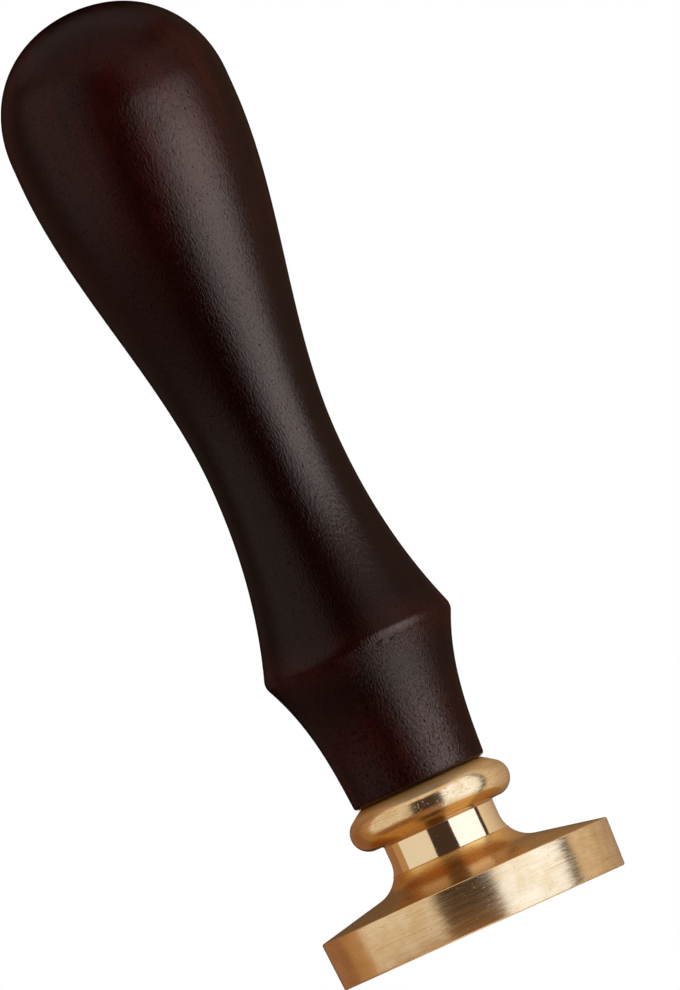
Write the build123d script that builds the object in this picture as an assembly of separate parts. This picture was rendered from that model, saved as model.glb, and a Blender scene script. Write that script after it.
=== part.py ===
from build123d import *
import os
from math import cos, hypot, radians, sin, sqrt, tan

# Wax seal stamp: a turned wooden handle, the steel hanger bolt fixed in its foot, and a turned brass seal head
# that screws onto the bolt. The origin is the centre of the engraved die face, +Z runs up through the handle.
# Every length is in millimetres.

# Seal head, from the die face up
RIM_DIAMETER = 25.0
RIM_HEIGHT = 4.1
RIM_TAPER = 0.2
RIM_CHAMFER = 0.15
FLARE_ANGLE = 12.0
COVE_RADIUS = 2.6
NECK_DIAMETER = 9.5
NECK_LENGTH = 3.5
BEAD_LEDGE = 0.66
BEAD_NOSE_RADIUS = 1.5
BEAD_TOP_SLOPE = 35.0
BEAD_TOP_HEIGHT = 0.72

# Heart engraved in the die face
HEART_BORDER = 2.4
HEART_GROOVE_WIDTH = 1.4
HEART_GROOVE_DEPTH = 0.8
HEART_GROOVE_DRAFT = 12.0

# Hanger bolt: a machine thread below, a plain shank and a wood screw above, on one nominal diameter
BOLT_DIAMETER = 6.0
MACHINE_THREAD_LENGTH = 7.5
MACHINE_END_CHAMFER = 0.6
SHANK_LENGTH = 2.0
SHANK_UNDERCUT = 0.4
WOOD_SCREW_LENGTH = 17.0
WOOD_SCREW_POINT_LENGTH = 4.0
WOOD_SCREW_TIP_DIAMETER = 1.0

# Fits of the bolt in the head's tapped hole and in the handle's pilot bore
BOLT_CLEARANCE = 0.05
TAPPED_HOLE_CHAMFER = 0.4
TAPPED_HOLE_RELIEF = 0.8
TAPPED_HOLE_POINT_ANGLE = 118.0
PILOT_BORE_RELIEF = 0.5

# Handle, with heights above its foot
HANDLE_LENGTH = 67.8
FOOT_DIAMETER = 11.35
FOOT_CHAMFER = 0.35
FOOT_FLARE = 0.06
SKIRT_FLARE = 0.5
SHOULDER_DIAMETER = 16.4
SHOULDER_HEIGHT = 12.05
SHOULDER_ROUND = 2.0
SHOULDER_TAPER = 0.36
WAIST_DIAMETER = 11.0
WAIST_HEIGHT = 28.3
BULB_DIAMETER = 18.86
BULB_BARREL_LENGTH = 1.4
DOME_HEIGHT = 9.4
DOME_FULLNESS = 0.585

# Heights that follow from the sizes above
FLARE_TOP = RIM_HEIGHT + (RIM_DIAMETER - NECK_DIAMETER) / 2 * tan(radians(FLARE_ANGLE))
BEAD_BOTTOM = FLARE_TOP + NECK_LENGTH
BEAD_NOSE_TOP = BEAD_BOTTOM + BEAD_NOSE_RADIUS * (1 + cos(radians(BEAD_TOP_SLOPE)))
HEAD_HEIGHT = BEAD_NOSE_TOP + BEAD_TOP_HEIGHT
BORE_RADIUS = BOLT_DIAMETER / 2 + BOLT_CLEARANCE


def turned(outline):
    """Revolve a closed outline of radius and height about the Z axis."""
    return revolve(Plane.XZ * make_face(outline), axis=Axis.Z)


def turned_edge(solid, radius, height):
    """Round edge of a turned solid that has that radius and height."""
    return [
        edge
        for edge in solid.edges().filter_by(GeomType.CIRCLE)
        if abs(edge.radius - radius) < 1e-4 and abs(edge.center().Z - height) < 1e-4
    ]


def graded_curve(start, start_slope, end, end_slope):
    """Curve of radius against height that leaves start and reaches end at the given radius per height."""
    third = (end[1] - start[1]) / 3
    leave = (start[0] + start_slope * third, start[1] + third)
    reach = (end[0] - end_slope * third, end[1] - third)
    return Bezier(start, leave, reach, end)


def heart_face(offset):
    """Plain heart, offset outwards: two round lobes over straight flanks that meet in a right-angled point."""
    # Each lobe's centre, as a share of the lobe's radius: the flanks need the first, the second centres the heart
    side, rise = cos(radians(45)), 0.5
    reach = RIM_DIAMETER / 2 - RIM_TAPER - HEART_BORDER - HEART_GROOVE_WIDTH / 2
    lobe_radius = reach / (1 + hypot(side, rise))
    centre_x, centre_y = lobe_radius * side, lobe_radius * rise
    lobe = lobe_radius + offset
    flank = lobe * side
    flanks = Polyline(
        (-centre_x, centre_y),
        (-centre_x - flank, centre_y - flank),
        (0, centre_y - centre_x - lobe * sqrt(2)),
        (centre_x + flank, centre_y - flank),
        (centre_x, centre_y),
        close=True,
    )
    return make_face(flanks) + Pos(-centre_x, centre_y) * Circle(lobe) + Pos(centre_x, centre_y) * Circle(lobe)


def seal_head():
    """Brass head turned in one piece: die, flare, neck and bead, with a tapped hole and an engraved heart."""
    rim_radius = RIM_DIAMETER / 2
    neck_radius = NECK_DIAMETER / 2
    nose_centre = neck_radius + BEAD_LEDGE
    slope = radians(BEAD_TOP_SLOPE)
    nose_end = nose_centre + BEAD_NOSE_RADIUS * sin(slope)

    die_edge = (rim_radius - RIM_TAPER, 0)
    rim_top = (rim_radius, RIM_HEIGHT)
    neck_top = (neck_radius, BEAD_BOTTOM)
    die_and_rim = Polyline((0, 0), die_edge, rim_top)
    flare_and_neck = FilletPolyline(rim_top, (neck_radius, FLARE_TOP), neck_top, radius=COVE_RADIUS)
    ledge = Line(neck_top, (nose_centre, BEAD_BOTTOM))
    nose = ThreePointArc(
        (nose_centre, BEAD_BOTTOM),
        (nose_centre + BEAD_NOSE_RADIUS, BEAD_BOTTOM + BEAD_NOSE_RADIUS),
        (nose_end, BEAD_NOSE_TOP),
    )
    # The bead's top slopes in to the flat seat for the handle, round the mouth of the blind tapped hole
    hole_bottom = HEAD_HEIGHT - MACHINE_THREAD_LENGTH - TAPPED_HOLE_RELIEF
    drill_point = BORE_RADIUS / tan(radians(TAPPED_HOLE_POINT_ANGLE / 2))
    seat_and_hole = Polyline(
        (nose_end, BEAD_NOSE_TOP),
        (nose_end - BEAD_TOP_HEIGHT / tan(slope), HEAD_HEIGHT),
        (BORE_RADIUS + TAPPED_HOLE_CHAMFER, HEAD_HEIGHT),
        (BORE_RADIUS, HEAD_HEIGHT - TAPPED_HOLE_CHAMFER),
        (BORE_RADIUS, hole_bottom),
        (0, hole_bottom - drill_point),
        (0, 0),
    )
    head = turned(die_and_rim + flare_and_neck + ledge + nose + seat_and_hole)
    head = chamfer(turned_edge(head, *die_edge) + turned_edge(head, *rim_top), RIM_CHAMFER)

    # The heart is an engraved line, drafted so that wax leaves it
    half_line = HEART_GROOVE_WIDTH / 2
    line = heart_face(half_line) - heart_face(-half_line)
    groove = extrude(line, amount=HEART_GROOVE_DEPTH, taper=HEART_GROOVE_DRAFT)
    return head - groove


def hanger_bolt():
    """Steel stud with a machine thread below the handle's foot and a pointed wood screw above it."""
    thread_radius = BOLT_DIAMETER / 2
    shank_radius = thread_radius - SHANK_UNDERCUT
    bottom = HEAD_HEIGHT - MACHINE_THREAD_LENGTH
    shank_top = HEAD_HEIGHT + SHANK_LENGTH
    screw_top = shank_top + WOOD_SCREW_LENGTH
    outline = Polyline(
        (0, bottom),
        (thread_radius - MACHINE_END_CHAMFER, bottom),
        (thread_radius, bottom + MACHINE_END_CHAMFER),
        (thread_radius, HEAD_HEIGHT - SHANK_UNDERCUT),
        (shank_radius, HEAD_HEIGHT),
        (shank_radius, shank_top),
        (thread_radius, shank_top + SHANK_UNDERCUT),
        (thread_radius, screw_top - WOOD_SCREW_POINT_LENGTH),
        (WOOD_SCREW_TIP_DIAMETER / 2, screw_top),
        (0, screw_top),
        close=True,
    )
    return turned(outline)


def handle():
    """Wooden handle: a flared skirt, a rounded shoulder, a waist and a domed bulb, with a blind pilot bore."""
    top = HEAD_HEIGHT + HANDLE_LENGTH
    dome_base = top - DOME_HEIGHT
    bulb_radius = BULB_DIAMETER / 2
    foot = (FOOT_DIAMETER / 2, HEAD_HEIGHT)
    shoulder = (SHOULDER_DIAMETER / 2, HEAD_HEIGHT + SHOULDER_HEIGHT)
    waist = (WAIST_DIAMETER / 2, HEAD_HEIGHT + WAIST_HEIGHT)
    bulb = (bulb_radius, dome_base - BULB_BARREL_LENGTH)

    skirt = graded_curve(foot, FOOT_FLARE, shoulder, SKIRT_FLARE)
    grip = graded_curve(shoulder, -SHOULDER_TAPER, waist, 0)
    swell = graded_curve(waist, 0, bulb, 0)
    barrel = Line(bulb, (bulb_radius, dome_base))
    dome = Bezier(
        (bulb_radius, dome_base),
        (bulb_radius, dome_base + DOME_FULLNESS * DOME_HEIGHT),
        (DOME_FULLNESS * bulb_radius, top),
        (0, top),
    )
    # The pilot bore for the bolt's wood screw tapers at its end as the screw's point does
    bore_top = HEAD_HEIGHT + SHANK_LENGTH + WOOD_SCREW_LENGTH + PILOT_BORE_RELIEF
    bore_and_foot = Polyline(
        (0, top),
        (0, bore_top),
        (WOOD_SCREW_TIP_DIAMETER / 2 + BOLT_CLEARANCE, bore_top),
        (BORE_RADIUS, bore_top - WOOD_SCREW_POINT_LENGTH),
        (BORE_RADIUS, HEAD_HEIGHT),
        foot,
    )
    wood = turned(skirt + grip + swell + barrel + dome + bore_and_foot)
    wood = fillet(turned_edge(wood, *shoulder), SHOULDER_ROUND)
    return chamfer(turned_edge(wood, *foot), FOOT_CHAMFER)


os.makedirs("parts", exist_ok=True)
for node, solid in {
    "seal_head": seal_head(),
    "hanger_bolt": hanger_bolt(),
    "handle": handle(),
}.items():
    export_step(solid, f"parts/{node}.step")
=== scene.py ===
"""Looks of a wax seal stamp: a turned wooden handle, its threaded stud and an engraved brass seal head."""

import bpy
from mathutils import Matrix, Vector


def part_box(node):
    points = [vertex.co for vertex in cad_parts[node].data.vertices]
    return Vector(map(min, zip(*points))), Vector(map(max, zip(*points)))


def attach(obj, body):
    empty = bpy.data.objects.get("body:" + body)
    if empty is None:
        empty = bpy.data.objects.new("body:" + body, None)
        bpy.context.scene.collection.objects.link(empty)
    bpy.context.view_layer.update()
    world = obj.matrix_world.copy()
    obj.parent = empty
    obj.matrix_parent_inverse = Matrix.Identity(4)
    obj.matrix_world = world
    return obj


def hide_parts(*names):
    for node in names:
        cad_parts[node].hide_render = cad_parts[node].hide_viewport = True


bl_info = {
    "name": "Wax seal stamp",
    "version": (1, 0, 0),
    "blender": (4, 5, 0),
    "location": "3D View > Sidebar > Seal stamp",
    "description": "Builds the pieces of a wax seal stamp round its CAD frame, with finishes and a studio",
    "category": "Object",
}

from math import acos, asin, ceil, cos, hypot, pi, radians, sin, sqrt, tan

import bmesh
import bpy
from bpy.props import FloatProperty, FloatVectorProperty, IntProperty, PointerProperty
from mathutils import Matrix, Vector
from mathutils.geometry import interpolate_bezier

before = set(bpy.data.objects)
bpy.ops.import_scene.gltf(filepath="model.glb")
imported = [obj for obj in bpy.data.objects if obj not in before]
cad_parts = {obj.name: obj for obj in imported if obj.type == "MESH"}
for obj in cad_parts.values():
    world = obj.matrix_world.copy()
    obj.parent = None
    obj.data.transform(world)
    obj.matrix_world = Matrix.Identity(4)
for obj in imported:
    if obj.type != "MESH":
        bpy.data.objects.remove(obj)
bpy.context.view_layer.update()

# Every length is in metres
MM = 0.001
MERGE_DISTANCE = 1e-7
SAME_PLACE = 1e-6
SHARP_EDGE = radians(32)
LAMP_DISTANCE = 0.6
NEAR_LAMP_DISTANCE = 0.17
ROOM_RADIUS = 1.2
WALL_STEP = radians(2)
# Turn of a window's side, per squared elevation: it leans out, so that it looks upright in the head's cove
WINDOW_LEAN = 0.32

# Directions of the window that the brass and the lacquer mirror, in degrees right of the camera and upwards
WINDOW_AZIMUTHS = (20, 81.5)
WINDOW_ELEVATIONS = (-48, 13)
ALL_ROUND = (-180, 180)

# Centre of a heart's lobe, as shares of the lobe's radius
HEART_SIDE = cos(radians(45))
HEART_RISE = 0.5

# Slope of a thread's flanks, and the crests of the two threads as shares of their pitch
THREAD_FLANK = radians(30)
MACHINE_CREST = 0.125
WOOD_CREST = 0.06

# Ridge in the tapped hole: shares of the stud's thread depth and pitch, and how far its root lies in the wall
RIDGE_DEPTH = 0.85
RIDGE_HALF_WIDTH = 0.4
RIDGE_ROOT = 0.02 * MM

# Places of the head's finishes in its list of materials
BRUSHED, SATIN, POLISHED, SOFT, DIE = range(5)

# The floor lies a little under the die face, and fades to white between two shares of its radius
FLOOR_DROP = 0.02 * MM
FLOOR_FADE = (0.2, 0.9)

# Heights and radii that the frame gives
HEAD_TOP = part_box("seal_head")[1].z
STUD_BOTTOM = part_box("hanger_bolt")[0].z
STUD_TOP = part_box("hanger_bolt")[1].z
STUD_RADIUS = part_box("hanger_bolt")[1].x
HANDLE_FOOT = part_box("handle")[0].z
HANDLE_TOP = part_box("handle")[1].z
BULB_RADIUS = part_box("handle")[1].x


def length(name, description, millimetres):
    """Property for a length, with its default in millimetres."""
    return FloatProperty(
        name=name,
        description=description,
        default=millimetres * MM,
        precision=5,
        subtype="DISTANCE",
        unit="LENGTH",
    )


def angle(name, description, degrees):
    """Property for an angle, with its default in degrees."""
    return FloatProperty(
        name=name,
        description=description,
        default=radians(degrees),
        subtype="ANGLE",
        unit="ROTATION",
    )


def share(name, description, default):
    """Property for a number from 0 to 1."""
    return FloatProperty(name=name, description=description, default=default, min=0, max=1, subtype="FACTOR")


def slope(name, description, default):
    """Property for a radius gained or lost per height."""
    return FloatProperty(name=name, description=description, default=default)


def colour(name, description, default):
    """Property for a linear colour."""
    return FloatVectorProperty(
        name=name, description=description, default=default, size=3, min=0, max=1, subtype="COLOR"
    )


class SealHeadSettings(bpy.types.PropertyGroup):
    """Sizes and colours of the brass seal head."""

    segments: IntProperty(name="Segments", description="Facets round the turned head", default=192, min=24)
    rim_diameter: length("Rim diameter", "Diameter of the die at the top of its rim", 25.0)
    rim_height: length("Rim height", "Height of the die's side", 4.1)
    rim_taper: length("Rim taper", "How much the die narrows towards its face", 0.2)
    rim_edge: length("Rim edge", "Broken edge above and below the rim", 0.15)
    flare_angle: angle("Flare angle", "Slope of the die's top", 12.0)
    cove_radius: length("Cove radius", "Round between the flare and the neck", 2.6)
    polish_height: length("Polish height", "Height of the turned line where the neck's polish starts", 6.65)
    polish_line: length("Polish line", "Half width and height of that turned line", 0.05)
    neck_diameter: length("Neck diameter", "Diameter of the polished neck", 9.5)
    neck_length: length("Neck length", "Height from the flare to the bead", 3.5)
    neck_root: length("Neck root", "Round where the neck runs into the bead", 0.18)
    bead_ledge: length("Bead ledge", "Flat underside of the bead", 0.66)
    bead_nose_radius: length("Bead nose radius", "Round of the bead", 1.5)
    bead_top_slope: angle("Bead top slope", "Slope from the bead to the handle's seat", 35.0)
    # Between these two depths the bead is clean; below them it carries painted shade, and above them it turns
    # darker towards the seat
    clean_band_bottom: length("Rubbed bottom", "Depth below the seat from which the bead is rubbed clean", 2.2)
    clean_band_top: length("Rubbed top", "Depth below the seat up to which the bead is rubbed clean", 0.6)
    hole_diameter: length("Hole diameter", "Outer diameter of the tapped hole's thread", 6.1)
    hole_chamfer: length("Hole chamfer", "Chamfer at the mouth of the tapped hole", 0.4)
    hole_relief: length("Hole relief", "Depth of the hole below the end of the stud", 0.8)
    drill_angle: angle("Drill angle", "Point angle of the drilled hole", 118.0)
    heart_border: length("Heart border", "Width of the plain border round the heart", 2.4)
    heart_line: length("Heart line", "Width of the engraved line", 1.4)
    heart_depth: length("Heart depth", "Depth of the engraved line", 0.8)
    heart_draft: angle("Heart draft", "Slope of the engraved line's walls", 12.0)
    heart_lip: length("Heart lip", "Burnished lip of the engraved line", 0.07)
    brass: colour("Brass", "Colour of clean brass", (0.88, 0.72, 0.52))
    # The flare is the same brass as the head; its deeper amber colour is painted reflection of the brass
    # above it
    painted_amber: colour("Amber", "Colour of the lacquered flare", (0.8, 0.5, 0.19))
    tarnish: colour("Tarnish", "Colour of brass that has darkened", (0.56, 0.32, 0.105))


class StudSettings(bpy.types.PropertyGroup):
    """Sizes and colour of the threaded stud."""

    segments: IntProperty(name="Segments", description="Facets in a turn of the thread", default=48, min=12)
    thread_pitch: length("Thread pitch", "Rise of the machine thread in one turn", 1.0)
    thread_depth: length("Thread depth", "Depth of the machine thread", 0.6)
    end_chamfer: length("End chamfer", "Chamfer at the machine end", 0.6)
    shank_undercut: length("Shank undercut", "How far the plain shank lies under the thread", 0.4)
    shank_length: length("Shank length", "Length of the plain shank above the foot of the handle", 2.0)
    wood_pitch: length("Wood screw pitch", "Rise of the wood screw in one turn", 2.4)
    wood_depth: length("Wood screw depth", "Depth of the wood screw's thread", 0.9)
    point_length: length("Point length", "Length of the wood screw's point", 4.0)
    tip_radius: length("Tip radius", "Radius of the wood screw's blunt tip", 0.5)
    zinc: colour("Zinc", "Colour of the bright zinc plating", (0.62, 0.61, 0.57))


class HandleSettings(bpy.types.PropertyGroup):
    """Sizes and colours of the wooden handle, with heights above its foot."""

    segments: IntProperty(name="Segments", description="Facets round the turned handle", default=160, min=24)
    foot_radius: length("Foot radius", "Radius of the foot on the brass", 5.675)
    foot_edge: length("Foot edge", "Eased edge of the foot", 0.35)
    foot_flare: slope("Foot flare", "Radius gained per height at the foot", 0.06)
    skirt_flare: slope("Skirt flare", "Radius gained per height at the top of the skirt", 0.5)
    shoulder_radius: length("Shoulder radius", "Radius of the shoulder before it is rounded", 8.2)
    shoulder_height: length("Shoulder height", "Height of the shoulder", 12.05)
    shoulder_round: length("Shoulder round", "How far the round of the shoulder reaches", 0.86)
    shoulder_taper: slope("Shoulder taper", "Radius lost per height above the shoulder", 0.36)
    waist_radius: length("Waist radius", "Radius of the narrow waist", 5.5)
    waist_height: length("Waist height", "Height of the waist", 28.3)
    barrel_length: length("Barrel length", "Straight stretch of the bulb", 1.4)
    dome_height: length("Dome height", "Height of the bulb's domed end", 9.4)
    dome_fullness: share("Dome fullness", "How square the domed end is", 0.585)
    bore_radius: length("Bore radius", "Radius of the pilot bore", 3.05)
    bore_relief: length("Bore relief", "Room above the tip of the stud", 0.5)
    stain: colour("Stain", "Colour of the thick dark stain", (0.021, 0.0035, 0.0022))
    # Raised above the wood's own red, so that it also paints bounce light from the floor on the handle
    rubbed: colour("Rubbed stain", "Colour where the stain is rubbed thin", (0.09, 0.009, 0.004))


class StageSettings(bpy.types.PropertyGroup):
    """Camera, lights and floor."""

    lens: FloatProperty(name="Lens", description="Focal length in millimetres", default=900.0, min=1)
    tilt: angle("Tilt", "How far the stamp leans to the left in the picture", 24.341)
    view_height: length("View height", "Height of the picture at the stamp", 79.3)
    aim_across: length("Aim across", "Middle of the picture, right of the stamp's axis", 3.683)
    aim_height: length("Aim height", "Middle of the picture, above the die face", 36.365)
    eye_height: length("Eye height", "Height of the camera above the die face", -0.3)
    room: colour("Room", "Colour of the dim room round the stamp", (0.06, 0.038, 0.026))
    floor_radius: length("Floor radius", "Radius of the pale floor", 260.0)
    floor: colour("Floor", "Colour of the pale floor", (0.86, 0.85, 0.83))
    floor_glow: share("Floor glow", "Share of plain white in what the camera sees of the floor", 0.3)


# Outlines and turned meshes


def arc(centre, radius, start, end, count):
    """Points of radius and height along an arc, between two angles above the horizontal."""
    turns = [start + (end - start) * step / count for step in range(count + 1)]
    return [(centre[0] + radius * cos(turn), centre[1] + radius * sin(turn)) for turn in turns]


def curve(start, leave, reach, end, count):
    """Points of radius and height along a Bezier curve."""
    ends = [Vector((*point, 0)) for point in (start, leave, reach, end)]
    return [(point.x, point.y) for point in interpolate_bezier(*ends, count + 1)]


def graded_curve(start, start_slope, end, end_slope, count):
    """Curve of radius against height that leaves start and reaches end at the given radius per height."""
    third = (end[1] - start[1]) / 3
    leave = (start[0] + start_slope * third, start[1] + third)
    reach = (end[0] - end_slope * third, end[1] - third)
    return curve(start, leave, reach, end, count)


def joined(*stretches):
    """One outline from stretches that each start where the last ended."""
    points = list(stretches[0])
    for stretch in stretches[1:]:
        points.extend(stretch[1:])
    return points


def radius_of(vertex):
    """Distance of a vertex from the turning axis."""
    return hypot(vertex.co.x, vertex.co.y)


def sweep(bm, outline, turned, steps, rise=0.0, heading=0.0, closed=False, merged=False):
    """Sweep an outline of radius and height round the Z axis, with a first face if it is closed."""
    across, ahead = cos(heading), sin(heading)
    points = [bm.verts.new((radius * across, radius * ahead, height)) for radius, height in outline]
    lines = [bm.edges.new(pair) for pair in zip(points, points[1:])]
    if closed:
        lines.append(bm.edges.new((points[-1], points[0])))
        bm.faces.new(points)
    swept = bmesh.ops.spin(
        bm,
        geom=points + lines,
        axis=(0, 0, 1),
        cent=(0, 0, 0),
        dvec=(0, 0, rise),
        angle=turned,
        steps=steps,
        use_merge=merged,
    )
    return swept["geom_last"]


def turn(bm, outline, segments):
    """Turn an outline of radius and height round the Z axis."""
    sweep(bm, outline, 2 * pi, segments, merged=True)
    bmesh.ops.remove_doubles(bm, verts=bm.verts[:], dist=MERGE_DISTANCE)


def ring(bm, radius, height):
    """Edges of the turned circle of that radius and height."""
    on_ring = {
        vertex
        for vertex in bm.verts
        if abs(radius_of(vertex) - radius) < SAME_PLACE and abs(vertex.co.z - height) < SAME_PLACE
    }
    return [edge for edge in bm.edges if on_ring.issuperset(edge.verts)]


def round_edges(bm, edges, reach, segments):
    """Round edges off, as far as reach on each side."""
    bmesh.ops.bevel(
        bm,
        geom=edges,
        offset=reach,
        offset_type="OFFSET",
        segments=segments,
        profile=0.5,
        affect="EDGES",
        material=-1,
        clamp_overlap=True,
    )


def fill_level(bm, height):
    """Close the open loop at that height with a face."""
    rim = [
        edge
        for edge in bm.edges
        if edge.is_boundary and all(abs(vertex.co.z - height) < SAME_PLACE for vertex in edge.verts)
    ]
    bmesh.ops.edgeloop_fill(bm, edges=rim)


def mesh_object(bm, name, materials):
    """Object in the scene whose mesh and materials are given."""
    mesh = bpy.data.meshes.new(name)
    bm.to_mesh(mesh)
    bm.free()
    for material in materials:
        mesh.materials.append(material)
    item = bpy.data.objects.new(name, mesh)
    bpy.context.scene.collection.objects.link(item)
    return item


def add_piece(bm, name, materials, body, slot, *replaced):
    """Make a mesh piece that rides on a body and hides the CAD nodes that it stands for; the slot is not
    used.
    """
    bmesh.ops.recalc_face_normals(bm, faces=bm.faces[:])
    piece = mesh_object(bm, name, materials)
    piece.data.shade_smooth()
    piece.data.set_sharp_from_angle(angle=SHARP_EDGE)
    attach(piece, body)
    if replaced:
        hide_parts(*replaced)


# Node helpers


def feed(tree, node, inputs):
    """Set a node's inputs, or link those that another node gives."""
    for socket, value in inputs.items():
        if isinstance(value, bpy.types.NodeSocket):
            tree.links.new(value, node.inputs[socket])
        else:
            node.inputs[socket].default_value = value


def add_node(tree, kind, inputs=None, **settings):
    """Add a node, with its settings and its inputs."""
    node = tree.nodes.new(kind)
    for name, value in settings.items():
        setattr(node, name, value)
    feed(tree, node, inputs or {})
    return node


def calculate(tree, operation, first, second=0.0, clamp=False):
    """Result of a Math node."""
    node = add_node(tree, "ShaderNodeMath", {0: first, 1: second}, operation=operation, use_clamp=clamp)
    return node.outputs[0]


def vector_math(tree, operation, first, second=None, scale=None):
    """Vector result of a Vector Math node."""
    inputs = {0: first, 1: second, "Scale": scale}
    given = {socket: value for socket, value in inputs.items() if value is not None}
    return add_node(tree, "ShaderNodeVectorMath", given, operation=operation).outputs[0]


def vector_length(tree, vector):
    """Length of a vector."""
    return add_node(tree, "ShaderNodeVectorMath", {0: vector}, operation="LENGTH").outputs["Value"]


def fade(tree, value, low, high, from_tone=0.0, to_tone=1.0):
    """Smooth step of a value, from one tone at low to another at high."""
    node = add_node(
        tree,
        "ShaderNodeMapRange",
        {"Value": value, "From Min": low, "From Max": high, "To Min": from_tone, "To Max": to_tone},
        interpolation_type="SMOOTHSTEP",
    )
    return node.outputs["Result"]


def blend(tree, factor, first, second):
    """Mix of two colours."""
    node = add_node(tree, "ShaderNodeMix", data_type="RGBA")
    places = {entry.identifier: place for place, entry in enumerate(node.inputs)}
    feed(tree, node, {places["Factor_Float"]: factor, places["A_Color"]: first, places["B_Color"]: second})
    return next(entry for entry in node.outputs if entry.identifier == "Result_Color")


def opaque(rgb):
    """Colour with full alpha."""
    return (*rgb, 1.0)


def new_material(name):
    """New material, with its node tree and its Principled shader."""
    material = bpy.data.materials.new(name)
    material.use_nodes = True
    tree = material.node_tree
    return material, tree, tree.nodes["Principled BSDF"]


def new_group(name, inputs, outputs):
    """Shader node group with float inputs and outputs, as its tree, its input sockets and its output node."""
    tree = bpy.data.node_groups.new(name, "ShaderNodeTree")
    for socket, default in inputs.items():
        entry = tree.interface.new_socket(name=socket, in_out="INPUT", socket_type="NodeSocketFloat")
        entry.default_value = default
    for socket in outputs:
        tree.interface.new_socket(name=socket, in_out="OUTPUT", socket_type="NodeSocketFloat")
    given = tree.nodes.new("NodeGroupInput")
    return tree, given.outputs, tree.nodes.new("NodeGroupOutput")


def place_group(tree, group, **inputs):
    """Outputs of a node group, with its inputs set."""
    named = {name.replace("_", " ").capitalize(): value for name, value in inputs.items()}
    return add_node(tree, "ShaderNodeGroup", named, node_tree=group).outputs


def position_in_mm(tree):
    """Object coordinates in millimetres."""
    place = tree.nodes.new("ShaderNodeTexCoord").outputs["Object"]
    return vector_math(tree, "SCALE", place, scale=1 / MM)


def sides_in_mm(tree):
    """Object coordinates in millimetres, one by one."""
    return add_node(tree, "ShaderNodeSeparateXYZ", {0: position_in_mm(tree)}).outputs


def grain_noise(tree, across, along, detail):
    """Noise with a grain of given millimetres across and along the axis."""
    sides = sides_in_mm(tree)
    grain = {"X": across, "Y": across, "Z": along}
    spot = {side: calculate(tree, "DIVIDE", sides[side], size) for side, size in grain.items()}
    place = add_node(tree, "ShaderNodeCombineXYZ", spot).outputs[0]
    noise = add_node(tree, "ShaderNodeTexNoise", {"Vector": place, "Scale": 1.0, "Detail": detail})
    return noise.outputs["Fac"]


def shared_group(name, build):
    """Node group of that name, built once."""
    return bpy.data.node_groups.get(name) or build(name)


def build_turned_lines(name):
    """Group: fine lines that run round the turning axis, broken into streaks."""
    tree, given, result = new_group(name, {"Spacing": 0.1, "Streak": 2.0}, ["Height"])
    place = position_in_mm(tree)
    across = vector_math(tree, "MULTIPLY", place, (1, 1, 0))
    outwards = calculate(tree, "DIVIDE", vector_length(tree, across), given["Spacing"])
    height = add_node(tree, "ShaderNodeSeparateXYZ", {0: place}).outputs["Z"]
    upwards = calculate(tree, "DIVIDE", height, given["Spacing"])
    # A point on a circle of ten millimetres, in streak lengths, has no seam where the angle starts again
    reach = calculate(tree, "DIVIDE", 10.0, given["Streak"])
    round_axis = vector_math(tree, "SCALE", vector_math(tree, "NORMALIZE", across), scale=reach)
    along = add_node(tree, "ShaderNodeCombineXYZ", {"Z": upwards}).outputs[0]
    spot = vector_math(tree, "ADD", round_axis, along)
    noise = add_node(
        tree,
        "ShaderNodeTexNoise",
        {"Vector": spot, "W": outwards, "Scale": 1.0, "Detail": 1.0},
        noise_dimensions="4D",
    )
    tree.links.new(noise.outputs["Fac"], result.inputs["Height"])
    return tree


def build_pits(name):
    """Group: scattered pits, which can be drawn out along the grain."""
    tree, given, result = new_group(name, {"Across": 0.1, "Along": 0.1, "Amount": 0.3}, ["Mask"])
    noise = grain_noise(tree, given["Across"], given["Along"], detail=0.5)
    # The more pits there are, the lower the tone at which one starts
    least = calculate(tree, "SUBTRACT", 0.78, calculate(tree, "MULTIPLY", given["Amount"], 0.3))
    most = calculate(tree, "ADD", least, 0.08)
    tree.links.new(fade(tree, noise, least, most), result.inputs["Mask"])
    return tree


def build_clouds(name):
    """Group: soft uneven tone, which can be drawn out along the axis."""
    tree, given, result = new_group(name, {"Size": 2.0, "Stretch": 1.0}, ["Tone"])
    tall = calculate(tree, "MULTIPLY", given["Size"], given["Stretch"])
    noise = grain_noise(tree, given["Size"], tall, detail=3.0)
    tree.links.new(fade(tree, noise, 0.3, 0.7), result.inputs["Tone"])
    return tree


def turned_lines(tree, spacing, streak):
    """Height of fine lines round the axis."""
    group = shared_group("Turned lines", build_turned_lines)
    return place_group(tree, group, spacing=spacing, streak=streak)["Height"]


def pits(tree, across, along, amount):
    """Mask of scattered pits."""
    group = shared_group("Pits", build_pits)
    return place_group(tree, group, across=across, along=along, amount=amount)["Mask"]


def clouds(tree, size, stretch=1.0):
    """Soft uneven tone from 0 to 1."""
    group = shared_group("Clouds", build_clouds)
    return place_group(tree, group, size=size, stretch=stretch)["Tone"]


def bump(tree, height, depth, base=None):
    """Normal of a relief with a depth in millimetres, on top of another one."""
    inputs = {"Height": height, "Distance": depth * MM, "Strength": 1.0}
    if base is not None:
        inputs["Normal"] = base
    return add_node(tree, "ShaderNodeBump", inputs).outputs["Normal"]


# Finishes


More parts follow.
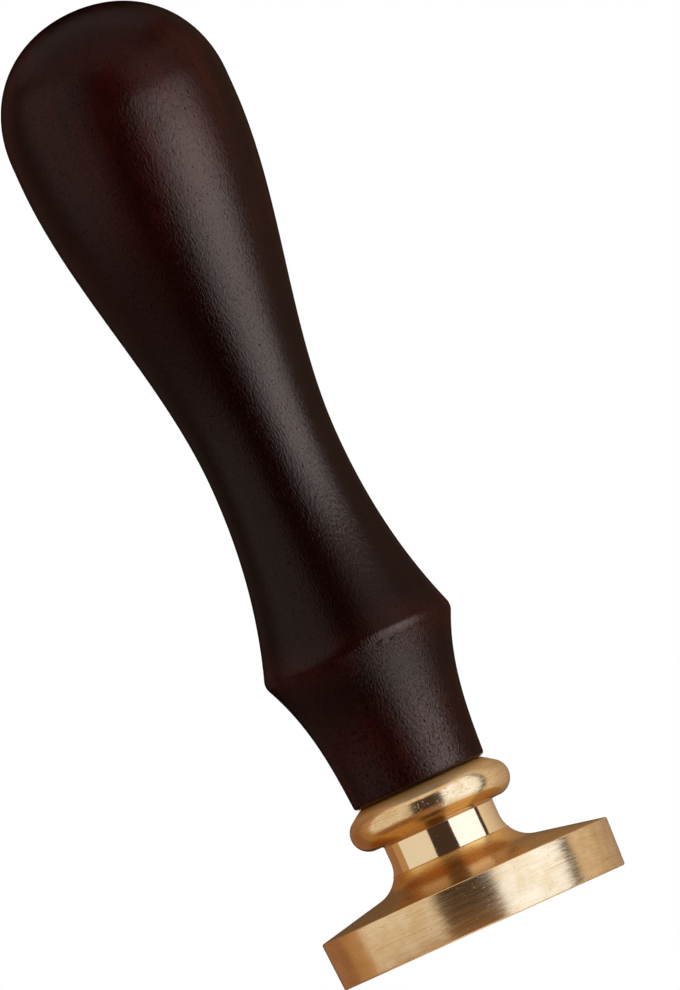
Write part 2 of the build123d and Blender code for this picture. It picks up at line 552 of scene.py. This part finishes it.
def brass_finish(name, clean, dark, roughness, line_depth, sway, tarnish, spots, anisotropy, rubbed=None):
    """Turned brass: lathe lines, swaying streaks, mottled tarnish, thin scratches and dark pits."""
    material, tree, shader = new_material(name)
    fine = turned_lines(tree, spacing=0.06, streak=3.0)
    streaks = turned_lines(tree, spacing=0.1, streak=0.9)
    scratches = fade(tree, turned_lines(tree, spacing=0.12, streak=9.0), 0.64, 0.7)
    dark_spots = pits(tree, across=0.16, along=0.16, amount=spots)
    # The clouds and twice the streaks come to about one and a half on the whole
    usual_mottle = 1.5
    mottle = calculate(tree, "ADD", clouds(tree, size=1.6), calculate(tree, "ADD", streaks, streaks))
    stain = calculate(tree, "MULTIPLY", calculate(tree, "ADD", mottle, scratches), tarnish / usual_mottle)
    stain = calculate(tree, "MAXIMUM", stain, dark_spots, clamp=True)
    sheen = fade(tree, fine, 0.3, 0.7, roughness * 0.85, roughness * 1.2)
    if rubbed is not None:
        # The metal is clean between two heights. Below them is painted shade on the bead's underside, with an
        # uneven border that slants up to the left, away from the key; above them the metal turns darker and
        # rougher towards the seat
        low, high = (level / MM for level in rubbed)
        half_border = 0.35
        sides = sides_in_mm(tree)
        height = sides["Z"]
        slanted = calculate(tree, "ADD", height, calculate(tree, "MULTIPLY", sides["X"], 0.12))
        uneven = calculate(tree, "ADD", slanted, fade(tree, clouds(tree, size=3.0), 0.0, 1.0, -0.3, 0.3))
        below = fade(tree, uneven, low + half_border, low - half_border, 0.0, 0.75)
        stain = calculate(tree, "MAXIMUM", stain, below)
        stain = calculate(tree, "MAXIMUM", stain, fade(tree, height, high - 0.5, high + 0.3))
        sheen = calculate(tree, "ADD", sheen, fade(tree, height, high - 0.5, high, 0.0, 0.32))
    relief = bump(tree, fine, depth=line_depth)
    relief = bump(tree, calculate(tree, "SUBTRACT", 1.0, dark_spots), depth=0.01, base=relief)
    place = tree.nodes.new("ShaderNodeTexCoord").outputs["Object"]
    round_axis = vector_math(tree, "NORMALIZE", vector_math(tree, "CROSS_PRODUCT", (0, 0, 1), place))
    lean = calculate(tree, "MULTIPLY", calculate(tree, "SUBTRACT", streaks, 0.5), sway)
    sideways = vector_math(tree, "SCALE", round_axis, scale=lean)
    swayed = vector_math(tree, "NORMALIZE", vector_math(tree, "ADD", relief, sideways))
    metal = {
        "Base Color": blend(tree, stain, opaque(clean), opaque(dark)),
        "Metallic": 1.0,
        "Roughness": sheen,
        "Normal": swayed,
        "Tangent": round_axis,
        # The lines run along the tangent and spread a highlight across it, which is a quarter turn
        "Anisotropic": anisotropy,
        "Anisotropic Rotation": 0.25,
    }
    feed(tree, shader, metal)
    return material


def zinc_finish(name, settings):
    """Bright zinc plating with faint lines and grey patches."""
    material, tree, shader = new_material(name)
    patch = clouds(tree, size=0.7)
    lines = turned_lines(tree, spacing=0.06, streak=2.0)
    dull = tuple(0.75 * channel for channel in settings.zinc)
    metal = {
        "Base Color": blend(tree, patch, opaque(settings.zinc), opaque(dull)),
        "Metallic": 1.0,
        "Roughness": fade(tree, patch, 0.0, 1.0, 0.22, 0.38),
        "Normal": bump(tree, lines, depth=0.002),
    }
    feed(tree, shader, metal)
    return material


def lacquered_wood(name, settings):
    """Dark stained hardwood under satin lacquer: stain rubbed thin on the rounds, its red raised to paint
    bounce light from the floor, and pores along the grain.
    """
    material, tree, shader = new_material(name)
    # Heights in millimetres
    height = sides_in_mm(tree)["Z"]
    foot = HANDLE_FOOT / MM
    ridge = foot + settings.shoulder_height / MM
    bulb = (HANDLE_TOP - settings.dome_height) / MM
    # The stain is thick round the waist and thin on the bulb, on the shoulder and towards the foot. Where it
    # is thin, its red is raised above the wood's own as painted bounce light from the floor, mostly on the
    # skirt and shoulder
    on_bulb = fade(tree, height, bulb - 22, bulb + 2)
    on_ridge = fade(tree, calculate(tree, "ABSOLUTE", calculate(tree, "SUBTRACT", height, ridge)), 3.0, 0.2)
    on_skirt = fade(tree, height, ridge - 3, foot + 4)
    thin = calculate(tree, "MAXIMUM", calculate(tree, "MAXIMUM", on_bulb, on_ridge), on_skirt)
    grain = clouds(tree, size=0.9, stretch=14.0)
    cloud = clouds(tree, size=6.0, stretch=1.6)
    rubbed = calculate(tree, "MULTIPLY", thin, fade(tree, cloud, 0.1, 0.9, 0.35, 1.0))
    rubbed = calculate(tree, "MULTIPLY", rubbed, fade(tree, grain, 0.0, 1.0, 0.6, 1.0), clamp=True)
    wood = blend(tree, rubbed, opaque(settings.stain), opaque(settings.rubbed))
    # There are more pores on the skirt and fewer on the ridge, with fine specks between them
    amount = fade(tree, on_skirt, 0.0, 1.0, 0.3, 0.5)
    amount = calculate(tree, "SUBTRACT", amount, calculate(tree, "MULTIPLY", on_ridge, 0.12))
    pores = pits(tree, across=0.1, along=0.4, amount=amount)
    below_ridge = fade(tree, height, ridge + 0.5, ridge - 1.5)
    speck_amount = fade(tree, below_ridge, 0.0, 1.0, 0.42, 0.62)
    specks = pits(tree, across=0.055, along=0.16, amount=speck_amount)
    pores = calculate(tree, "MAXIMUM", pores, specks)
    # The lacquer is more uneven on the skirt, below the shoulder
    uneven = fade(tree, below_ridge, 0.0, 1.0, 1.1, 1.6)
    streaks = calculate(tree, "MULTIPLY", clouds(tree, size=0.14, stretch=3.0), uneven)
    relief = bump(tree, streaks, depth=0.01)
    relief = bump(tree, calculate(tree, "SUBTRACT", 1.0, pores), depth=0.003, base=relief)
    lacquer = {
        "Base Color": blend(tree, pores, wood, opaque(settings.stain)),
        # Open pores swallow the light: as dark metal they neither shine nor scatter
        "Metallic": calculate(tree, "MULTIPLY", pores, 0.95),
        "Roughness": fade(tree, cloud, 0.0, 1.0, 0.19, 0.23),
        "IOR": 1.5,
        "Normal": relief,
    }
    feed(tree, shader, lacquer)
    return material


# Pieces


class STAMP_OT_seal_head(bpy.types.Operator):
    """Build the brass head, turned in one from rim to bead, with a tapped hole and an engraved heart"""

    bl_idname = "stamp.seal_head"
    bl_label = "Seal head"

    def execute(self, context):
        sizes = context.scene.stamp_seal_head
        bm = bmesh.new()
        self.turn_head(bm, sizes)
        self.engrave_die(bm, sizes)
        self.sort_finishes(bm, sizes)
        materials = self.finishes(sizes)
        add_piece(bm, "brass_head", materials, "head", "brass", "seal_head")
        self.cut_thread(sizes, context.scene.stamp_stud, materials[POLISHED])
        return {"FINISHED"}

    def finishes(self, sizes):
        """Materials of the head, in the order of their places."""
        brass, painted_amber, dark = sizes.brass, sizes.painted_amber, sizes.tarnish
        # Depths of the bead's clean band, with painted shade below it and darker metal towards the seat above
        # it
        rubbed = (HEAD_TOP - sizes.clean_band_bottom, HEAD_TOP - sizes.clean_band_top)
        # Roughness, depth of the lathe lines in millimetres, sway, tarnish, dark spots and anisotropy
        return [
            brass_finish("Brushed brass", brass, dark, 0.25, 0.004, 0.08, 0.42, 0.1, 0.6),
            # The flare's amber colour is painted reflection of the brass above it
            brass_finish("Satin brass", painted_amber, dark, 0.28, 0.003, 0.06, 0.3, 0.15, 0.5),
            brass_finish("Polished brass", brass, dark, 0.08, 0.0003, 0.01, 0.1, 0.0, 0.0),
            brass_finish("Soft brass", brass, dark, 0.2, 0.001, 0.05, 0.45, 0.35, 0.2, rubbed),
            brass_finish("Die brass", brass, dark, 0.22, 0.002, 0.03, 0.2, 0.1, 0.3),
        ]

    def levels(self, sizes):
        """Heights of the flare's top and of the bead's underside."""
        run = (sizes.rim_diameter - sizes.neck_diameter) / 2
        flare_top = sizes.rim_height + run * tan(sizes.flare_angle)
        return flare_top, flare_top + sizes.neck_length

    def turn_head(self, bm, sizes):
        """Turn the head's outside and its hole, open at the die face."""
        rim = sizes.rim_diameter / 2
        neck = sizes.neck_diameter / 2
        hole = sizes.hole_diameter / 2
        flare_top, bead_bottom = self.levels(sizes)
        nose_centre = (neck + sizes.bead_ledge, bead_bottom + sizes.bead_nose_radius)
        nose_end = pi / 2 - sizes.bead_top_slope
        nose = arc(nose_centre, sizes.bead_nose_radius, -pi / 2, nose_end, count=28)
        slope_run = (HEAD_TOP - nose[-1][1]) / tan(sizes.bead_top_slope)
        seat_edge = (nose[-1][0] - slope_run, HEAD_TOP)
        hole_bottom = STUD_BOTTOM - sizes.hole_relief
        drill_point = hole / tan(sizes.drill_angle / 2)
        die_edge = (rim - sizes.rim_taper, 0)
        rim_top = (rim, sizes.rim_height)
        mouth = (hole, HEAD_TOP - sizes.hole_chamfer)
        outline = joined(
            [die_edge, rim_top] + self.cove(sizes, neck, flare_top) + [(neck, bead_bottom), nose[0]],
            nose,
            [nose[-1], seat_edge, (hole + sizes.hole_chamfer, HEAD_TOP), mouth],
            [mouth, (hole, hole_bottom), (0, hole_bottom - drill_point)],
        )
        turn(bm, outline, sizes.segments)
        round_edges(bm, ring(bm, neck, bead_bottom), sizes.neck_root, segments=5)
        round_edges(bm, ring(bm, *rim_top), sizes.rim_edge, segments=4)
        round_edges(bm, ring(bm, *seat_edge), sizes.rim_edge, segments=3)

    def cove(self, sizes, neck, flare_top):
        """Round from the flare up to the neck, with a fine turned line where the polish starts."""
        radius = sizes.cove_radius
        centre = (neck + radius, flare_top + radius / tan((pi / 2 + sizes.flare_angle) / 2))
        line = pi + asin((centre[1] - sizes.polish_height) / radius)
        half_line = sizes.polish_line / radius
        satin = arc(centre, radius, 3 * pi / 2 - sizes.flare_angle, line + half_line, count=14)
        crest = arc(centre, radius - sizes.polish_line, line, line, count=1)[:1]
        polished = arc(centre, radius, line - half_line, pi, count=10)
        return satin + crest + polished

    def engrave_die(self, bm, sizes):
        """Close the die face with a plain border and a heart drawn as one engraved line."""
        half_line = sizes.heart_line / 2
        half_floor = half_line - sizes.heart_depth * tan(sizes.heart_draft)
        face = sizes.rim_diameter / 2 - sizes.rim_taper
        middle = (face - sizes.heart_border - half_line) / (1 + hypot(HEART_SIDE, HEART_RISE))
        border = ring(bm, face, 0)
        depth = sizes.heart_depth
        steps = ((half_line, 0), (half_floor, depth), (-half_floor, depth), (-half_line, 0))
        loops = [self.heart_loop(bm, sizes, middle, grow, height) for grow, height in steps]
        # A bridge takes its direction from faces that are there, so the line comes first and the border last
        for outer, inner in list(zip(loops, loops[1:])) + [(border, loops[0])]:
            bmesh.ops.bridge_loops(bm, edges=outer + inner)
        bmesh.ops.edgeloop_fill(bm, edges=loops[-1])
        bmesh.ops.recalc_face_normals(bm, faces=bm.faces[:])
        round_edges(bm, loops[0] + loops[-1], sizes.heart_lip, segments=3)
        round_edges(bm, ring(bm, face, 0), sizes.rim_edge, segments=4)

    def heart_loop(self, bm, sizes, lobe, grow, height):
        """Closed loop of a heart with round lobes and a right-angled point, grown outwards."""
        centre = Vector((lobe * HEART_SIDE, lobe * HEART_RISE))
        radius = lobe + grow
        quarter = sizes.segments // 4
        cleft = acos(-centre.x / radius)
        lobe_turn = cleft + pi / 4
        side = [
            centre + radius * Vector((cos(turned), sin(turned)))
            for turned in (cleft - lobe_turn * step / quarter for step in range(quarter + 1))
        ]
        point = Vector((0, centre.y - centre.x - radius * sqrt(2)))
        side += [side[-1].lerp(point, step / quarter) for step in range(1, quarter)]
        other_side = [Vector((-spot.x, spot.y)) for spot in reversed(side[1:])]
        verts = [bm.verts.new((spot.x, spot.y, height)) for spot in side + [point] + other_side]
        return [bm.edges.new(pair) for pair in zip(verts, verts[1:] + verts[:1])]

    def sort_finishes(self, bm, sizes):
        """Give each zone its finish: fine die, brushed rim, satin flare, polished neck and soft bead."""
        rim = sizes.rim_diameter / 2
        neck_top = self.levels(sizes)[1] - sizes.neck_root
        for face in bm.faces:
            middle = face.calc_center_median()
            across = hypot(middle.x, middle.y)
            if middle.z < MM and across < rim - sizes.rim_taper - sizes.rim_edge:
                face.material_index = DIE
            elif middle.z < sizes.rim_height and across > rim - sizes.rim_edge * 3:
                face.material_index = BRUSHED
            elif middle.z < sizes.polish_height and across > sizes.neck_diameter / 2:
                face.material_index = SATIN
            elif middle.z < neck_top or across < sizes.hole_diameter / 2:
                face.material_index = POLISHED
            else:
                face.material_index = SOFT

    def cut_thread(self, sizes, stud, material):
        """Ridge of the tapped hole's thread, whose turns lie in the grooves of the stud."""
        pitch = stud.thread_pitch
        start = STUD_BOTTOM + pitch
        turns = int((HEAD_TOP - sizes.hole_chamfer - start) / pitch) - 1
        root = sizes.hole_diameter / 2 + RIDGE_ROOT
        crest = sizes.hole_diameter / 2 - stud.thread_depth * RIDGE_DEPTH
        half_width = RIDGE_HALF_WIDTH * pitch
        ridge = [(root, start - half_width), (crest, start), (root, start + half_width)]
        rise = pitch / stud.segments
        bm = bmesh.new()
        last = sweep(bm, ridge, 2 * pi * turns, turns * stud.segments, rise=rise, closed=True)
        bm.faces.new([entry for entry in last if isinstance(entry, bmesh.types.BMVert)])
        add_piece(bm, "tapped_thread", [material], "head", "brass")


class STAMP_OT_hanger_bolt(bpy.types.Operator):
    """Build the stud: a machine thread below, a plain shank and a pointed wood screw above"""

    bl_idname = "stamp.hanger_bolt"
    bl_label = "Hanger bolt"

    def execute(self, context):
        sizes = context.scene.stamp_stud
        shank = STUD_RADIUS - sizes.shank_undercut
        shank_top = HANDLE_FOOT + sizes.shank_length
        overlap = sizes.shank_undercut
        bm = bmesh.new()
        machine_blank = [
            (STUD_RADIUS - sizes.end_chamfer, STUD_BOTTOM),
            (STUD_RADIUS, STUD_BOTTOM + sizes.end_chamfer),
            (STUD_RADIUS, HANDLE_FOOT - overlap),
            (shank, HANDLE_FOOT),
        ]
        self.add_thread(bm, machine_blank, sizes.thread_pitch, sizes.thread_depth, MACHINE_CREST)
        wood_blank = [
            (shank, shank_top),
            (STUD_RADIUS, shank_top + overlap),
            (STUD_RADIUS, STUD_TOP - sizes.point_length),
            (sizes.tip_radius, STUD_TOP),
        ]
        self.add_thread(bm, wood_blank, sizes.wood_pitch, sizes.wood_depth, WOOD_CREST, pointed=True)
        low, high = HANDLE_FOOT - overlap, shank_top + overlap
        turn(bm, [(0, low), (shank, low), (shank, high), (0, high)], sizes.segments)
        zinc = zinc_finish("Bright zinc", sizes)
        add_piece(bm, "threaded_stud", [zinc], "bolt", "zinc_plated_steel", "hanger_bolt")
        return {"FINISHED"}

    def add_thread(self, bm, blank, pitch, depth, crest_share, pointed=False):
        """Add a closed length of thread, cut on a blank that is given as radius and height from below."""
        sizes = bpy.context.scene.stamp_stud
        bottom, top = blank[0][1], blank[-1][1]
        crest = max(radius for radius, height in blank)
        root = crest - depth
        flank = depth * tan(THREAD_FLANK)
        half_crest = pitch * crest_share / 2
        start = bottom - 2 * pitch
        middle = start + pitch / 2
        profile = [
            (root, start),
            (root, middle - half_crest - flank),
            (crest, middle - half_crest),
            (crest, middle + half_crest),
            (root, middle + half_crest + flank),
            (root, start + pitch),
        ]
        # The thread runs past both ends of the blank, and is cut off there
        turns = ceil((top - bottom) / pitch) + 3
        cut = bmesh.new()
        sweep(cut, profile, 2 * pi * turns, turns * sizes.segments, rise=pitch / sizes.segments)
        bmesh.ops.remove_doubles(cut, verts=cut.verts[:], dist=MERGE_DISTANCE)
        for height, outside in ((bottom, -1), (top, 1)):
            everything = cut.verts[:] + cut.edges[:] + cut.faces[:]
            bmesh.ops.bisect_plane(
                cut, geom=everything, plane_co=(0, 0, height), plane_no=(0, 0, outside), clear_outer=True
            )
            fill_level(cut, height)
        for vertex in cut.verts:
            self.turn_down(vertex, blank, crest, pointed)
        scratch = bpy.data.meshes.new("thread")
        cut.to_mesh(scratch)
        cut.free()
        bm.from_mesh(scratch)
        bpy.data.meshes.remove(scratch)

    def turn_down(self, vertex, blank, crest, pointed):
        """Keep a vertex inside the blank, or draw the whole thread in with a pointed blank."""
        for (low_radius, low), (high_radius, high) in zip(blank, blank[1:]):
            if low - SAME_PLACE <= vertex.co.z <= high + SAME_PLACE:
                limit = low_radius + (high_radius - low_radius) * (vertex.co.z - low) / (high - low)
                across = radius_of(vertex)
                scale = limit / crest if pointed else min(1.0, limit / max(across, SAME_PLACE))
                vertex.co.x *= scale
                vertex.co.y *= scale
                return


class STAMP_OT_handle(bpy.types.Operator):
    """Build the wooden handle: a flared skirt, a rounded shoulder, a slim waist and a domed bulb"""

    bl_idname = "stamp.handle"
    bl_label = "Handle"

    def execute(self, context):
        sizes = context.scene.stamp_handle
        stud = context.scene.stamp_stud
        foot = (sizes.foot_radius, HANDLE_FOOT)
        shoulder = (sizes.shoulder_radius, HANDLE_FOOT + sizes.shoulder_height)
        waist = (sizes.waist_radius, HANDLE_FOOT + sizes.waist_height)
        dome_base = HANDLE_TOP - sizes.dome_height
        bulb = (BULB_RADIUS, dome_base - sizes.barrel_length)
        dome_start = (BULB_RADIUS, dome_base)
        dome_leave = (BULB_RADIUS, dome_base + sizes.dome_fullness * sizes.dome_height)
        dome_reach = (sizes.dome_fullness * BULB_RADIUS, HANDLE_TOP)
        bore_top = STUD_TOP + sizes.bore_relief
        taper_start = (sizes.bore_radius, bore_top - stud.point_length)
        outline = joined(
            [(0, bore_top), (stud.tip_radius, bore_top), taper_start, (sizes.bore_radius, HANDLE_FOOT), foot],
            graded_curve(foot, sizes.foot_flare, shoulder, sizes.skirt_flare, count=28),
            graded_curve(shoulder, -sizes.shoulder_taper, waist, 0, count=28),
            graded_curve(waist, 0, bulb, 0, count=36),
            [bulb, dome_start],
            curve(dome_start, dome_leave, dome_reach, (0, HANDLE_TOP), count=40),
        )
        bm = bmesh.new()
        turn(bm, outline, sizes.segments)
        round_edges(bm, ring(bm, *shoulder), sizes.shoulder_round, segments=10)
        round_edges(bm, ring(bm, *foot), sizes.foot_edge, segments=5)
        wood = lacquered_wood("Lacquered wood", sizes)
        add_piece(bm, "wooden_handle", [wood], "handle", "stained_wood", "handle")
        return {"FINISHED"}


# Stage


def softbox(name, lit, azimuths, elevations, radiance, distance=LAMP_DISTANCE):
    """Area lamp for some pieces that fills a window of degrees right of the camera and degrees upwards."""
    across = radians(sum(azimuths) / 2)
    up = radians(sum(elevations) / 2)
    heading = Vector((sin(across) * cos(up), -cos(across) * cos(up), sin(up)))
    lamp = bpy.data.lights.new(name, "AREA")
    lamp.shape = "RECTANGLE"
    lamp.size = 2 * distance * tan(radians(azimuths[1] - azimuths[0]) / 2)
    lamp.size_y = 2 * distance * tan(radians(elevations[1] - elevations[0]) / 2)
    brightest = max(radiance)
    lamp.energy = brightest * pi * lamp.size * lamp.size_y
    lamp.color = [channel / brightest for channel in radiance]
    holder = bpy.data.objects.new(name, lamp)
    holder.location = heading * distance
    holder.rotation_euler = heading.to_track_quat("Z", "Y").to_euler()
    holder.visible_camera = False
    holder.light_linking.receiver_collection = lit
    bpy.context.scene.collection.objects.link(holder)


def glowing_wall(name, lit, radius, radiance, clear, *windows):
    """Round walls for some pieces to mirror, each filling a window of directions; clear ones hide nothing."""
    bm = bmesh.new()
    for azimuths, elevations in windows:
        start, end = (radians(azimuth) for azimuth in azimuths)
        low, high = (radians(elevation) for elevation in elevations)
        outline = arc((0, 0), radius, low, high, ceil((high - low) / WALL_STEP))
        sweep(bm, outline, end - start, ceil((end - start) / WALL_STEP), heading=start - pi / 2)
    for vertex in bm.verts:
        rise = max(0, asin(max(-1, min(1, vertex.co.z / radius))))
        sideways = vertex.co.x / max(radius_of(vertex), SAME_PLACE)
        vertex.co.rotate(Matrix.Rotation(WINDOW_LEAN * rise**2 * sideways, 3, "Z"))
    material, tree = new_material(name)[:2]
    brightest = max(radiance)
    tint = opaque([channel / brightest for channel in radiance])
    glow = add_node(tree, "ShaderNodeEmission", {"Color": tint, "Strength": brightest}).outputs[0]
    if clear:
        through = tree.nodes.new("ShaderNodeBsdfTransparent").outputs[0]
        glow = add_node(tree, "ShaderNodeAddShader", {0: glow, 1: through}).outputs[0]
    tree.links.new(glow, tree.nodes["Material Output"].inputs["Surface"])
    wall = mesh_object(bm, name, [material])
    wall.light_linking.receiver_collection = lit
    wall.visible_camera = False
    wall.visible_shadow = False
    wall.visible_transmission = False


def card(name, lit, azimuths, elevations, radiance):
    """Clear glowing wall, whose light is added to what lies behind it."""
    glowing_wall(name, lit, LAMP_DISTANCE, radiance, True, (azimuths, elevations))


def fading_cards(name, lit, azimuths, elevations, near, far, count):
    """Row of cards whose light changes evenly from the first to the last."""
    start, end = azimuths
    edges = [start + (end - start) * step / count for step in range(count + 1)]
    for step, window in enumerate(zip(edges, edges[1:])):
        radiance = Vector(near).lerp(Vector(far), step / (count - 1))
        card(f"{name}_{step}", lit, window, elevations, radiance)


def lit_group(name, *pieces):
    """Collection of the pieces that a set of lamps lights."""
    group = bpy.data.collections.new(name)
    for piece in pieces:
        group.objects.link(bpy.data.objects[piece])
    return group


def seen(tree):
    """One for camera, glossy and transmission rays, and nought for all others."""
    path = tree.nodes.new("ShaderNodeLightPath").outputs
    sight = calculate(tree, "MAXIMUM", path["Is Camera Ray"], path["Is Glossy Ray"])
    return calculate(tree, "MAXIMUM", sight, path["Is Transmission Ray"])


class STAMP_OT_stage(bpy.types.Operator):
    """Set the camera, the lamps, the dim room, the pale floor and the white background"""

    bl_idname = "stamp.stage"
    bl_label = "Stage"

    def execute(self, context):
        settings = context.scene.stamp_stage
        context.scene.view_settings.view_transform = "Standard"
        self.set_camera(context, settings)
        self.set_world(context)
        self.lay_floor(settings)
        brass = lit_group("lit_brass", "brass_head", "tapped_thread", "threaded_stud")
        self.close_room(settings, brass)
        self.light_brass(brass)
        self.light_wood(lit_group("lit_wood", "wooden_handle"))
        softbox("floor_lamp", lit_group("lit_floor", "floor"), (28, 52), (43, 67), (24.0, 23.7, 23.4))
        return {"FINISHED"}

    def light_brass(self, lit):
        """Cards for the brass to mirror, cool in front and warm behind, with dark gaps between them."""
        # Elevations at which the cards meet
        low, level, high = -45, -14, 58
        card("brass_key", lit, WINDOW_AZIMUTHS, WINDOW_ELEVATIONS, (0.28, 0.46, 0.7))
        card("brass_key_high", lit, WINDOW_AZIMUTHS, (WINDOW_ELEVATIONS[1], high), (1.25, 1.42, 1.66))
        card("brass_left", lit, (-97, -26), (level, high), (0.82, 0.79, 0.68))
        card("brass_left_back", lit, (-120, -97), (low, high), (0.44, 0.25, 0.1))
        card("brass_back", lit, (-165, -120), (low, high), (0.27, 0.13, 0.055))
        near, far = (0.8, 0.69, 0.52), (0.29, 0.19, 0.1)
        fading_cards("brass_right", lit, (90.5, 174), (low, high), near, far, count=8)
        card("brass_behind", lit, (174, 195), (10, 45), (0.07, 0.055, 0.035))
        card("brass_low", lit, (-100, 20), (low, level), (0.3, 0.15, 0.045))
        card("brass_top", lit, ALL_ROUND, (high, 90), (0.95, 0.8, 0.58))
        card("brass_below", lit, ALL_ROUND, (-90, low), (0.95, 0.8, 0.6))

    def light_wood(self, lit):
        """Lamps in the window for the lacquer, a strip behind it, and weak fill from the other sides."""
        daylight = (0.5, 0.41, 0.38)
        upper, level = (-8, 50), (-40, 40)
        softbox("wood_key", lit, (36, 69), (-8, 24), (1.15, 0.92, 0.86), NEAR_LAMP_DISTANCE)
        softbox("wood_window", lit, (30, WINDOW_AZIMUTHS[1]), (-10, 8), daylight)
        softbox("wood_window_low", lit, WINDOW_AZIMUTHS, (WINDOW_ELEVATIONS[0], -10), daylight)
        softbox("wood_front_low", lit, (-12, 20), (-58, -40), (0.3, 0.25, 0.23))
        softbox("wood_high", lit, (30, 80), (WINDOW_ELEVATIONS[1], 45), (0.36, 0.29, 0.27))
        softbox("wood_back", lit, (168, 192), (-50, -6), (2.2, 2.05, 2.0))
        softbox("wood_left", lit, (-100, -30), upper, (0.32, 0.25, 0.23))
        softbox("wood_left_back", lit, (-160, -100), upper, (0.07, 0.045, 0.035))
        softbox("wood_left_low", lit, (-130, -38), (-50, -8), (0.15, 0.08, 0.065))
        softbox("wood_right", lit, (88, 125), level, (0.19, 0.14, 0.1))
        softbox("wood_right_back", lit, (125, 165), level, (0.07, 0.05, 0.035))
        softbox("wood_top", lit, (-40, 40), (50, 130), (0.18, 0.16, 0.15))

    def set_camera(self, context, settings):
        """Look level at the die, along +Y, with the stamp leaning to the left."""
        lens = bpy.data.cameras.new("camera")
        lens.sensor_fit = "VERTICAL"
        lens.sensor_height = 36.0
        lens.lens = settings.lens
        lens.clip_start = 0.01
        lens.clip_end = 20.0
        aim = Vector((settings.aim_across, 0, settings.aim_height))
        distance = settings.view_height * settings.lens / lens.sensor_height
        eye = Vector((settings.aim_across, -distance, settings.eye_height))
        back = (eye - aim).normalized()
        up = Vector((sin(settings.tilt), 0, cos(settings.tilt)))
        right = up.cross(back).normalized()
        up = back.cross(right)
        camera = bpy.data.objects.new("camera", lens)
        turned = Matrix((right, up, back)).transposed().to_4x4()
        camera.matrix_world = Matrix.Translation(eye) @ turned
        context.scene.collection.objects.link(camera)
        context.scene.camera = camera

    def set_world(self, context):
        """White background that lights nothing by itself."""
        world = bpy.data.worlds.new("studio")
        context.scene.world = world
        world.use_nodes = True
        tree = world.node_tree
        feed(tree, tree.nodes["Background"], {"Color": (1, 1, 1, 1), "Strength": seen(tree)})
        # Only rays that meet it by chance see the background, so it isn't sampled as a lamp
        world.cycles.sampling_method = "NONE"

    def lay_floor(self, settings):
        """Pale disc that fades to the white background and lets a view from below through."""
        bm = bmesh.new()
        bmesh.ops.create_circle(bm, cap_ends=True, segments=96, radius=settings.floor_radius)
        bmesh.ops.translate(bm, verts=bm.verts[:], vec=(0, 0, -FLOOR_DROP))
        material, tree, shader = new_material("Pale floor")
        feed(tree, shader, {"Base Color": opaque(settings.floor), "Roughness": 0.8})
        away = vector_length(tree, position_in_mm(tree))
        near, far = (settings.floor_radius / MM * part for part in FLOOR_FADE)
        glow = calculate(tree, "MULTIPLY", fade(tree, away, near, far, settings.floor_glow, 1.0), seen(tree))
        white = add_node(tree, "ShaderNodeEmission", {"Color": (1, 1, 1, 1), "Strength": 1.0}).outputs[0]
        faded = add_node(tree, "ShaderNodeMixShader", {0: glow, 1: shader.outputs[0], 2: white}).outputs[0]
        below = tree.nodes.new("ShaderNodeNewGeometry").outputs["Backfacing"]
        clear = tree.nodes.new("ShaderNodeBsdfTransparent").outputs[0]
        open_below = add_node(tree, "ShaderNodeMixShader", {0: below, 1: faded, 2: clear}).outputs[0]
        tree.links.new(open_below, tree.nodes["Material Output"].inputs["Surface"])
        floor = mesh_object(bm, "floor", [material])
        # It neither tints the stamp, nor shows in it, nor keeps lamps below from it
        floor.visible_diffuse = False
        floor.visible_glossy = False
        floor.visible_shadow = False

    def close_room(self, settings, lit):
        """Dim room for the brass and dark for the wood, with one window on the white background."""
        left, right = WINDOW_AZIMUTHS
        low, high = WINDOW_ELEVATIONS
        beside = ((right, left + 360), (-90, 90))
        over = (WINDOW_AZIMUTHS, (high, 90))
        under = (WINDOW_AZIMUTHS, (-90, low))
        glowing_wall("room", lit, ROOM_RADIUS, settings.room, False, beside, over, under)


class STAMP_PT_panel(bpy.types.Panel):
    """Lists the pieces of the stamp and their sizes"""

    bl_idname = "STAMP_PT_panel"
    bl_label = "Wax seal stamp"
    bl_space_type = "VIEW_3D"
    bl_region_type = "UI"
    bl_category = "Seal stamp"

    def draw(self, context):
        for operator, settings in BUILD_ORDER:
            box = self.layout.box()
            box.operator(operator.bl_idname)
            group = getattr(context.scene, settings)
            for name in group.__annotations__:
                box.prop(group, name)


SETTINGS = {
    "stamp_seal_head": SealHeadSettings,
    "stamp_stud": StudSettings,
    "stamp_handle": HandleSettings,
    "stamp_stage": StageSettings,
}
BUILD_ORDER = [
    (STAMP_OT_seal_head, "stamp_seal_head"),
    (STAMP_OT_hanger_bolt, "stamp_stud"),
    (STAMP_OT_handle, "stamp_handle"),
    (STAMP_OT_stage, "stamp_stage"),
]


def register():
    """Register the settings, the operators and the panel."""
    for name, group in SETTINGS.items():
        bpy.utils.register_class(group)
        setattr(bpy.types.Scene, name, PointerProperty(type=group))
    for operator, settings in BUILD_ORDER:
        bpy.utils.register_class(operator)
    bpy.utils.register_class(STAMP_PT_panel)


def unregister():
    """Take away what register added."""
    bpy.utils.unregister_class(STAMP_PT_panel)
    for operator, settings in reversed(BUILD_ORDER):
        bpy.utils.unregister_class(operator)
    for name, group in SETTINGS.items():
        delattr(bpy.types.Scene, name)
        bpy.utils.unregister_class(group)


def main():
    """Build the stamp and its stage."""
    register()
    bpy.ops.stamp.seal_head()
    bpy.ops.stamp.hanger_bolt()
    bpy.ops.stamp.handle()
    bpy.ops.stamp.stage()


if __name__ == "__main__":
    main()
